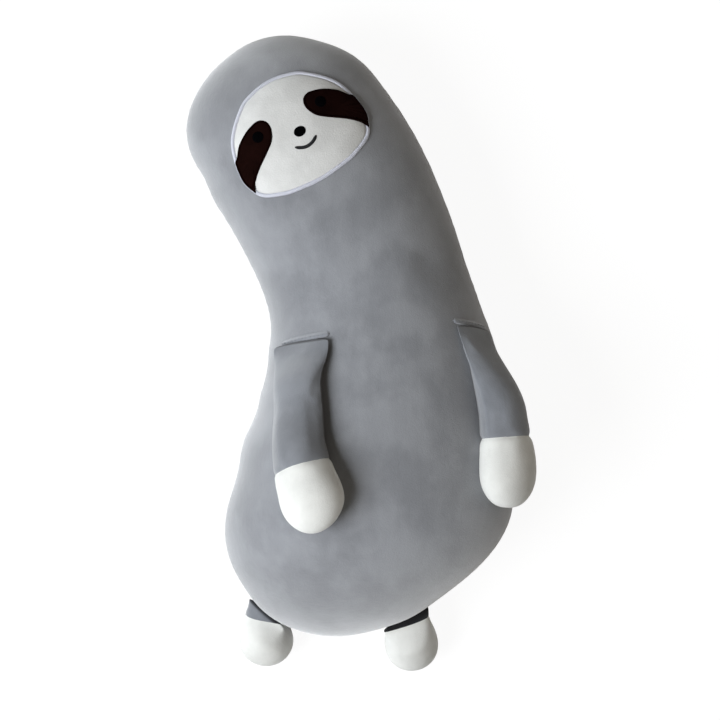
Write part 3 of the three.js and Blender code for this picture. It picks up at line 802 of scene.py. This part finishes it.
def smooth_outline(points, count, closed=True):
    """A smooth curve through points, cut into equal steps."""
    n, curve = len(points), []
    for i in range(n if closed else n - 1):
        near = range(i - 1, i + 3)
        p, q, r, s = (points[j % n if closed else min(n - 1, max(0, j))] for j in near)
        for j in range(CURVE_STEPS):
            t = j / CURVE_STEPS
            curve.append(0.5 * (2 * q + (r - p) * t + (2 * p - 5 * q + 4 * r - s) * t * t
                                + (3 * q - p - 3 * r + s) * t ** 3))
    curve.append(curve[0] if closed else points[-1])
    runs = [0.0]
    for a, b in zip(curve, curve[1:]):
        runs.append(runs[-1] + (b - a).length)
    steps = count if closed else count - 1
    made, k = [], 0
    for i in range(count):
        want = runs[-1] * i / steps
        while k + 2 < len(runs) and runs[k + 1] < want:
            k += 1
        share = (want - runs[k]) / max(1e-9, runs[k + 1] - runs[k])
        made.append(curve[k].lerp(curve[k + 1], share))
    return made


def oval(out, up, half_width, half_height):
    turns = (2 * pi * i / OVAL_POINTS for i in range(OVAL_POINTS))
    return [Vector((out + half_width * cos(t), up + half_height * sin(t))) for t in turns]


def face_point(out, up):
    """A place of the face, measured from its nose, as a place of the plan."""
    turned = Matrix.Rotation(FACE_TILT, 2) @ Vector((out, up))
    return beside_line(NOSE_AT, FACE_SHIFT) + turned + Vector((start_x, start_y))


def on_head(plan, lift=0.0):
    """The point of the body's skin under a place of the plan, and the way out of it."""
    normal = Vector((0, 0, 0))
    for dx, dy in ((4, 0), (-4, 0), (0, 4), (0, -4), (0, 0)):
        above = Vector((plan.x + dx * MM, plan.y + dy * MM, 1))
        hit, facing, _, _ = body_skin.ray_cast(above, Vector((0, 0, -1)))
        normal += facing
    normal.normalize()
    return hit + normal * lift, normal


face_half = [Vector((x * FACE_HALF, y * (FACE_TOP if y > 0 else FACE_BOTTOM)))
             for x, y in FACE_SHARES]
face_corners = face_half + [Vector((-p.x, p.y)) for p in face_half[1:-1][::-1]]
face_local = smooth_outline(face_corners, 200)
patch_corners = [Vector((x * FACE_HALF, y * FACE_TOP)) for x, y in PATCH_SHARES]


def inset_outline(outline, distance):
    """The outline drawn in by a distance. It may run either way, so the inner side is tested."""
    made, middle = [], sum(outline, Vector((0, 0))) / len(outline)
    for a, b, c in zip(outline[-1:] + outline[:-1], outline, outline[1:] + outline[:1]):
        side = Vector((-(c - a).y, (c - a).x)).normalized()
        made.append(b + side * (distance if side.dot(middle - b) > 0 else -distance))
    return made


def stitched_line(outline, distance, count):
    """The line that runs inside an outline at a distance, with its corners turned smoothly."""
    near = inset_outline(outline, distance)
    clear = [p for p in near if min((p - q).length for q in outline) > 0.93 * distance]
    return smooth_outline(clear[::3], count)


def inside(point, outline):
    """True if the outline goes round the point."""
    crossings = 0
    for a, b in zip(outline, outline[1:] + outline[:1]):
        if (a.y > point.y) != (b.y > point.y):
            crossings += point.x < (b.x - a.x) * (point.y - a.y) / (b.y - a.y) + a.x
    return crossings % 2 == 1


def kept_inside(points, outline):
    """Points that stray over an outline go back to the nearest place on it."""
    return [p if inside(p, outline) else min(outline, key=lambda q: (q - p).length) for p in points]


# %% Lay a flat piece on the head
def applique(name, outline, lift, thickness, crown, step=4 * MM):
    """Fabric cut to an outline. Its middle stands up by crown, as what is sewn down does."""
    middle = sum(outline, Vector((0, 0))) / len(outline)
    widest = max((p - middle).length for p in outline)
    count = max(4, round(widest / step))
    shares = [1 - i / count for i in range(count)]

    def ring(share, under=False):
        made = []
        for p in outline:
            away, plan = (p - middle).length * (1 - share), middle.lerp(p, share)
            rise = thickness * min(1, 0.35 + away / (2 * MM)) + crown * ramp(away, 0, 14 * MM)
            height = UNDER_LIFT if under else lift + rise
            made.append(on_head(face_point(plan.x, plan.y), height)[0])
        return made

    rings = [ring(0.6, True), ring(0.99, True), *[ring(s) for s in shares]]
    ends = [on_head(face_point(middle.x, middle.y), height)[0]
            for height in (UNDER_LIFT, lift + thickness + crown)]
    return to_object(name, loft(rings, *ends))


def satin_bead(name, line, width, height, lift, closed=True):
    """A raised band of thread across a line, one turn beside the other, as satin stitch is."""
    feet = [on_head(face_point(p.x, p.y), lift) for p in line]
    rings, total = [], len(line)
    for i, (point, normal) in enumerate(feet):
        ahead = feet[(i + 1) % total][0] if closed or i + 1 < total else point
        behind = feet[i - 1][0] if closed or i else point
        across = normal.cross((ahead - behind).normalized()).normalized()
        thin = 1.0 if closed else sqrt(max(0.05, 1 - (2 * i / (total - 1) - 1) ** 8))
        ring = []
        for k in range(BEAD_SIDES):
            turn = 2 * pi * k / BEAD_SIDES
            rise = sin(turn)
            rise = height * (rise if rise > 0 else 0.35 * rise)
            sideways = across * (width / 2 * thin * cos(turn))
            ring.append(point + sideways + normal * (rise * thin))
        rings.append(ring)
    ends = (None, None) if closed else (feet[0][0], feet[-1][0])
    piece = to_object(name, loft(rings, *ends, closed=closed))
    run = max(corner.uv[1] for corner in piece.data.uv_layers["Surface"].data)
    threads = max(1, round(run / THREAD))
    for corner in piece.data.uv_layers["Surface"].data:
        corner.uv = (corner.uv[0], corner.uv[1] / run * threads)
    return piece


face_shape = inset_outline(face_local, 1.6 * MM)
face_cover = applique("face_cloth", face_shape, 0.3 * MM, 1.0 * MM, 1.2 * MM)
edge_line = inset_outline(face_local, EDGING_WIDTH / 2)
face_edge = satin_bead("face_satin_edge", edge_line, EDGING_WIDTH + 0.6 * MM, 1.5 * MM, 0.5 * MM)
patches, rims, eyes = {}, {}, {}
for side, word in ((-1, "right"), (1, "left")):
    shape = smooth_outline([Vector((side * p.x, p.y)) for p in patch_corners], 120)
    shape = kept_inside(shape, inset_outline(face_local, 1.0 * MM))
    patches[word] = applique(word + "_patch_cloth", shape, 2.0 * MM, 0.8 * MM, 0.3 * MM, 3 * MM)
    rim_line = stitched_line(shape, 1.3 * MM, 130)
    rims[word] = satin_bead(word + "_patch_satin", rim_line, 2.6 * MM, 1.3 * MM, 2.1 * MM)
    ring = oval(side * EYE_OUT, EYE_UP, EYE_RADIUS, EYE_RADIUS)
    eyes[word] = applique(word + "_eye_satin", ring, 2.9 * MM, 0.7 * MM, 1.0 * MM, 1 * MM)
print("face pieces", face_cover.name, face_edge.name, *[p.name for p in patches.values()])

# %% The nose and the smile
NOSE_HALF_WIDTH, NOSE_HALF_HEIGHT = 5.6 * MM, 4.6 * MM
SMILE_HALF, SMILE_TOP, SMILE_SAG, SMILE_STEPS = 11 * MM, 10.2 * MM, 4.8 * MM, 40
nose_ring = oval(NOSE_OUT, 0, NOSE_HALF_WIDTH, NOSE_HALF_HEIGHT)
nose = applique("nose_satin", nose_ring, 2.4 * MM, 0.7 * MM, 1.4 * MM, 1 * MM)
shares = [2 * i / SMILE_STEPS - 1 for i in range(SMILE_STEPS + 1)]
smile_line = [Vector((NOSE_OUT + s * SMILE_HALF, -SMILE_TOP - SMILE_SAG * (1 - s * s)))
              for s in shares]
smile = satin_bead("smile_satin", smile_line, 3.1 * MM, 1.1 * MM, 2.5 * MM, closed=False)

# %% [markdown]
# ## Shoulder hems
# Each arm is sewn to the body by a turned hem: a narrow pad of plush just above the sleeve, with
# stitches along it. They are separate short threads, because real stitches cast small shadows
# that a painted line can't.

# %% A tuck and its stitches
TUCK_HEIGHT, TUCK_THICKNESS, TUCK_STEPS, TUCK_SIDES = 6 * MM, 1.9 * MM, 40, 16
STITCH, STITCH_RADIUS, STITCH_GAP = 3.0 * MM, 0.45 * MM, 1.1 * MM


def on_body(point, lift):
    near, normal, _, _ = body_skin.find_nearest(point)
    return near + normal * lift, normal


def tuck(name, limb):
    """A flat rounded pad on the body, just above the end of a sleeve."""
    centre, across, out = limb_section(limb, 0)
    up, rings = out.cross(across), []
    middle_up = HEM_RADIUS + CLEAR + TUCK_HEIGHT / 2
    for i in range(TUCK_STEPS + 1):
        share = 2 * i / TUCK_STEPS - 1
        side = share * (limb["seam_half"] + 0.5 * MM)
        thin = (1 - abs(share) ** 14) ** 0.5 * 0.9 + 0.1
        ring = []
        for k in range(TUCK_SIDES):
            turn = 2 * pi * k / TUCK_SIDES
            c, s = cos(turn), sin(turn)
            rise = copysign(abs(s) ** 0.6, s)
            wide = copysign(abs(c) ** 0.7, c)
            spot = centre + across * side + up * (middle_up + wide * TUCK_HEIGHT / 2 * thin)
            fold = ramp(-wide, -1, 0.1)
            lift = TUCK_THICKNESS * thin * fold * (0.5 + 0.5 * rise) + CLEAR
            ring.append(on_body(spot, lift)[0])
        rings.append(ring)
    ends = [sum((Vector(p) for p in ring), Vector()) / len(ring) for ring in (rings[0], rings[-1])]
    return to_object(name, loft(rings, *ends))


def stitches(name, line, lift, skin):
    """Short threads in a row, each a small capsule that dips into the fabric at its ends."""
    bm = bmesh.new()
    run = sum((b - a).length for a, b in zip(line, line[1:]))
    count = int(run / (STITCH + STITCH_GAP))
    places = smooth_outline(line, 3 * count + 1, closed=False)
    for i in range(count):
        a, b = places[3 * i], places[3 * i + 2]
        foot, normal = skin((a + b) / 2, lift)
        way = (b - a).normalized()
        side = normal.cross(way).normalized()
        axes = Matrix((way, side, normal)).transposed().to_4x4()
        made = bmesh.ops.create_uvsphere(bm, u_segments=8, v_segments=5, radius=1.0)["verts"]
        size = Matrix.Diagonal((STITCH / 2, STITCH_RADIUS, STITCH_RADIUS, 1))
        bmesh.ops.transform(bm, verts=made, matrix=Matrix.Translation(foot) @ axes @ size)
    print(name, "has", count, "stitches")
    return to_object(name, bm)


tucks, tuck_threads = {}, {}
for word in ("right", "left"):
    limb = limbs[word + "_arm"]
    tucks[word] = tuck(word + "_tuck_plush", limb)
    centre, across, out = limb_section(limb, 0)
    up = out.cross(across)
    tuck_skin = surface_of(tucks[word])

    def on_tuck(point, lift):
        hit, normal, _, _ = tuck_skin.ray_cast(point + out * 30 * MM, -out)
        if hit is None:
            return on_body(point, lift)
        return hit + normal * lift, normal

    side = 0.84 * limb["seam_half"]
    line = [centre + across * (s * side) + up * 4.6 * MM for s in np.linspace(-1, 1, 12)]
    tuck_threads[word] = stitches(word + "_tuck_stitches", line, 0.05 * MM, on_tuck)

# %% [markdown]
# ## Finishes of the face
# Satin stitch is thread laid side by side. Its UV map counts the threads, so a sine over V makes
# one ridge per thread, and a little noise keeps them uneven. The face cloth has a finer, flatter
# nap than the body, and the patches are like dark brown felt.

# %% Thread and appliqué cloth
def satin(name, dark, light, pitch=0.0, shine=0.4):
    """Threads counted by the UV map, or laid aslant at a pitch where there is one."""
    shader = Shader(name, Specular_IOR_Level=shine)
    if not pitch:
        uv = shader.node("UVMap", None, {"uv_map": "Surface"})
        threads = shader.node("SeparateXYZ", {"Vector": uv}, output="Y")
        turns = threads + shader.noise(260, 2, 0.5) * 0.5
    else:
        x, y = (shader.node("SeparateXYZ", {"Vector": shader.place()}, output=o) for o in "XY")
        turns = (y * 0.83 + x * 0.55) * (1 / pitch)
    ridge = (turns * (2 * pi)).sin() * 0.5 + 0.5
    fuzz = shader.noise(900, 2, 0.5)
    # The colour follows the ridges, darker in the dips between threads and lighter on the crests:
    # painted shade and painted light that go with the bump
    colour = shader.mix(ridge * 0.7 + fuzz * 0.3, dark, light)
    normal = shader.bumped(ridge, 0.00022, 0.9)
    roughness = 0.42 + fuzz * 0.2
    return shader.set(Base_Color=colour, Roughness=roughness, Normal=normal)


def cloth_finish(name, dark, light, sheen, shine):
    shader = Shader(name, Sheen_Weight=sheen, Sheen_Roughness=0.5, Specular_IOR_Level=shine)
    broad = shader.noise(40, 3, 0.6)
    pile = shader.noise(700, 3, 0.6)
    colour = shader.mix(broad.between(0.3, 0.7) * 0.7 + pile * 0.3, dark, light)
    normal = shader.bumped(pile, 0.0006, 0.6)
    return shader.set(Base_Color=colour, Roughness=0.85 + pile * 0.12, Normal=normal)


edge_thread = satin("edging_thread", rgb(198, 200, 213), rgb(228, 230, 240))
rim_thread = satin("rim_thread", rgb(9, 3, 3), rgb(24, 9, 7), shine=0.0)
black_thread = satin("black_thread", rgb(2, 2, 3), rgb(8, 8, 10), 0.7 * MM, shine=0.0)
smile_thread = satin("smile_thread", rgb(16, 16, 18), rgb(44, 44, 48), shine=0.2)
grey_thread = satin("grey_thread", rgb(118, 120, 125), rgb(152, 154, 160), 0.8 * MM)
face_cloth = cloth_finish("face_cloth", rgb(205, 205, 203), rgb(222, 222, 220), 0.5, 0.2)
brown_cloth = cloth_finish("brown_cloth", rgb(12, 4, 3), rgb(26, 10, 8), 0.0, 0.02)

# %% [markdown]
# ## Riding the frame
# The body and the pieces on its face and shoulders ride on the trunk, and hide the solids that they
# stand for. Each limb's cover is baked where it lies and hides its solids. The place a blend length
# along each limb's line is found, but nothing uses it.

# %% Ride and replace
BLEND_LENGTH = {"arm": 18 * MM, "leg": 10 * MM}
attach(plush_body, "trunk")
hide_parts("front_panel", "back_panel", "body_stuffing")
for name, cover in covers.items():
    word, kind = name.split("_")
    centre, across, out = limb_section(limbs[name], 0)
    end = centre + across.cross(out) * BLEND_LENGTH[kind]
    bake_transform(cover)
    parts = ("sleeve", "hand") if kind == "arm" else ("leg_cover", "foot")
    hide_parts(f"{word}_{parts[0]}", f"{word}_{parts[1]}", f"{name}_stuffing")
for pieces, node, slot, finish in [
    ({"": face_cover}, "face_panel", "face_fabric", face_cloth),
    ({"": face_edge}, "face_edging", "edging_thread", edge_thread),
    ({"": nose}, "nose", "black_thread", black_thread),
    ({"": smile}, "mouth", "black_thread", smile_thread),
    (patches, "_eye_patch", "brown_fabric", brown_cloth),
    (eyes, "_eye", "black_thread", black_thread),
    (tucks, "_shoulder_tuck", "limb_plush", tuck_plush),
    (rims, None, "brown_fabric", rim_thread),
    (tuck_threads, None, "limb_plush", grey_thread),
]:
    for word, piece in pieces.items():
        piece.data.materials[0] = finish
        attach(piece, "trunk")
        if node:
            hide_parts(word + node)

# %% [markdown]
# ## Floor, light and camera
# The toy lies on a white floor and is seen from straight above. A broad soft lamp at the
# viewer's left lights it, with a low one at the upper left and a faint warm one at the right.
# The world fills the shadows, and the camera hangs two metres over the floor with a long lens.

# %% The floor
FLOOR_SIZE, FLOOR_DROP, FLOOR_GLOW, GLOW_SHARE = 6, 0.2 * MM, 1.08, 0.86


def seen_as(tree, lighting, seen, output, share=1.0):
    """Shows the camera the second shader, in this share, where the first one meets the light."""
    kinds = ("LightPath", "Math", "MixShader")
    path, amount, mixed = (tree.nodes.new("ShaderNode" + kind) for kind in kinds)
    amount.operation, amount.inputs[1].default_value = "MULTIPLY", share
    tree.links.new(path.outputs["Is Camera Ray"], amount.inputs[0])
    for index, socket in enumerate((amount.outputs[0], lighting, seen)):
        tree.links.new(socket, mixed.inputs[index])
    tree.links.new(mixed.outputs[0], tree.nodes[output].inputs["Surface"])


floor_bm = bmesh.new()
bmesh.ops.create_grid(floor_bm, x_segments=1, y_segments=1, size=FLOOR_SIZE)
floor = to_object("studio_floor", floor_bm)
for vertex in floor.data.vertices:
    vertex.co.z = -FLOOR_DROP
white = (0.9, 0.9, 0.9, 1)
floor_finish = Shader("studio_floor", Base_Color=white, Roughness=0.9, Specular_IOR_Level=0.0)
glow = floor_finish.node("Emission", {"Color": (1, 1, 1, 1), "Strength": FLOOR_GLOW})
plain = floor_finish.base.outputs[0]
seen_as(floor_finish.tree, plain, glow.socket, "Material Output", GLOW_SHARE)
floor.data.materials[0] = floor_finish.material

# %% Lights
def lamp(name, place, target, size, power, colour):
    light = bpy.data.lights.new(name, "AREA")
    light.shape, light.size, light.energy, light.color = "SQUARE", size, power, colour
    made = bpy.data.objects.new(name, light)
    made.location = place
    made.rotation_euler = (Vector(target) - Vector(place)).to_track_quat("-Z", "Y").to_euler()
    scene.collection.objects.link(made)


lamp("key", (-1.35, -0.6, 1.6), (0, 0, 0.1), 1.3, 54, (0.93, 0.965, 1.0))
lamp("side", (-1.4, 1.0, 0.5), (0, 0.1, 0.1), 0.9, 5, (0.88, 0.95, 1.0))
lamp("fill", (1.5, 0.2, 1.4), (0, 0, 0.1), 1.6, 3, (1.0, 0.86, 0.7))
world = bpy.data.worlds.new("studio")
scene.world = world
world.use_nodes = True
background = world.node_tree.nodes["Background"]
background.inputs["Strength"].default_value = 0.13
background.inputs["Color"].default_value = (1, 0.93, 0.82, 1)
bright = world.node_tree.nodes.new("ShaderNodeBackground")
seen_as(world.node_tree, background.outputs[0], bright.outputs[0], "World Output")

# %% The camera
SENSOR, FOCAL_PIXELS, PICTURE = 36, 2037, 720
camera = bpy.data.cameras.new("camera")
camera.sensor_width = SENSOR
camera.lens = SENSOR * FOCAL_PIXELS / PICTURE
camera_object = bpy.data.objects.new("camera", camera)
camera_object.location = (1.45 * MM, -1.37 * MM, 2)
scene.collection.objects.link(camera_object)
scene.camera = camera_object
scene.view_settings.view_transform = "Standard"
